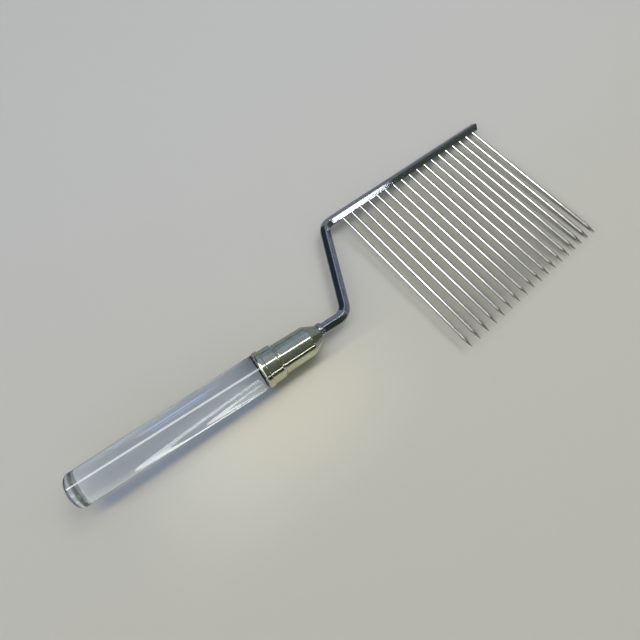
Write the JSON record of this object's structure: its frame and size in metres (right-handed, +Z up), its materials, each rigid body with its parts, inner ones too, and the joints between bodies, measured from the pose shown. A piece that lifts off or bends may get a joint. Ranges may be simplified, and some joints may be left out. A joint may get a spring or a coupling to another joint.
{
  "type": "uncapping fork",
  "caption": "Handled comb of straight pointed needles on a cranked bar, for lifting wax cappings off honeycomb.",
  "frame": {"origin": "on the ground, under the middle of the fork's outline, with the fork lying at rest", "axes": "+X along the handle from the butt towards the comb, leaning 2.2 degrees nose-down; +Y across the comb towards the crossbar; +Z up"},
  "size_m": [0.2352, 0.0898, 0.0165],
  "materials": {
    "clear_acrylic": "clear, polished",
    "nickel_plate": "bright nickel plate",
    "chrome_plate": "bright chrome plate",
    "needle_steel": "polished stainless wire"
  },
  "bodies": {
    "root": {"handle": "clear_acrylic", "ferrule": "nickel_plate", "collar": "chrome_plate", "bar": "chrome_plate", "needle_01": "needle_steel", "needle_02": "needle_steel", "needle_03": "needle_steel", "needle_04": "needle_steel", "needle_05": "needle_steel", "needle_06": "needle_steel", "needle_07": "needle_steel", "needle_08": "needle_steel", "needle_09": "needle_steel", "needle_10": "needle_steel", "needle_11": "needle_steel", "needle_12": "needle_steel", "needle_13": "needle_steel", "needle_14": "needle_steel", "needle_15": "needle_steel", "needle_16": "needle_steel", "needle_17": "needle_steel", "needle_18": "needle_steel"}
  },
  "joints": []
}
